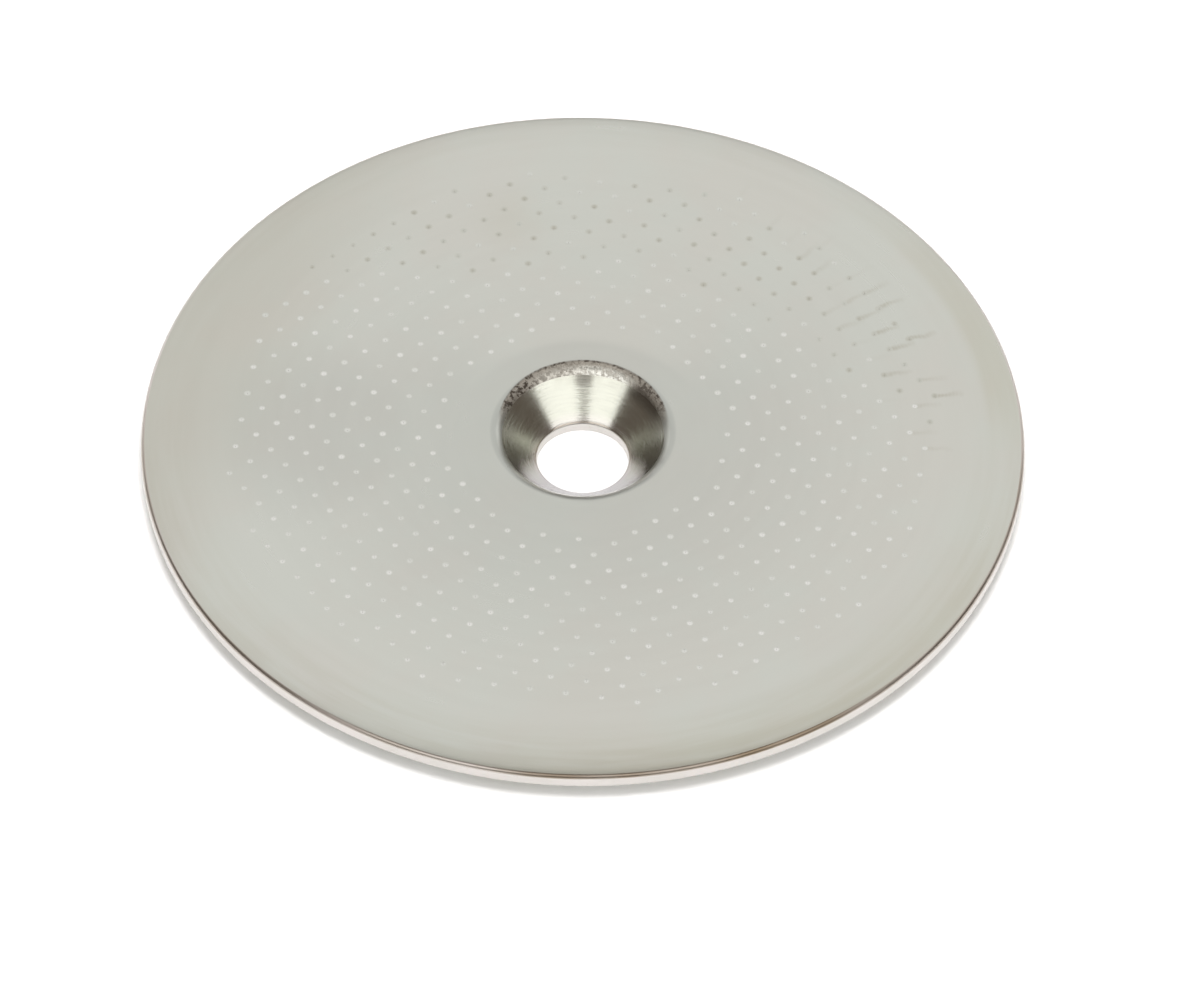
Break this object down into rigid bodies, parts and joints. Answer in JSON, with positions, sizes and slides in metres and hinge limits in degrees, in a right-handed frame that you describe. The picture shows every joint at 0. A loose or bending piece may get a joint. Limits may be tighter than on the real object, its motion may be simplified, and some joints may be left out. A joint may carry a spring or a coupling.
{
  "type": "espresso shower screen",
  "caption": "Round perforated stainless-steel shower screen with a countersunk screw dish; spreads brew water evenly over the coffee bed.",
  "frame": {"origin": "under the middle of the screw hole, on the plane of the dish's foot ring", "axes": "+Z out of the coffee side, along the screw; +X and +Y across the disc, +X to the right in the picture"},
  "size_m": [0.0576, 0.0576, 0.0034],
  "materials": {
    "satin_steel": "satin stainless steel, fine concentric lines near the rim, polished inside the screw dish"
  },
  "bodies": {
    "root": {"shower_screen": "satin_steel"}
  },
  "joints": []
}
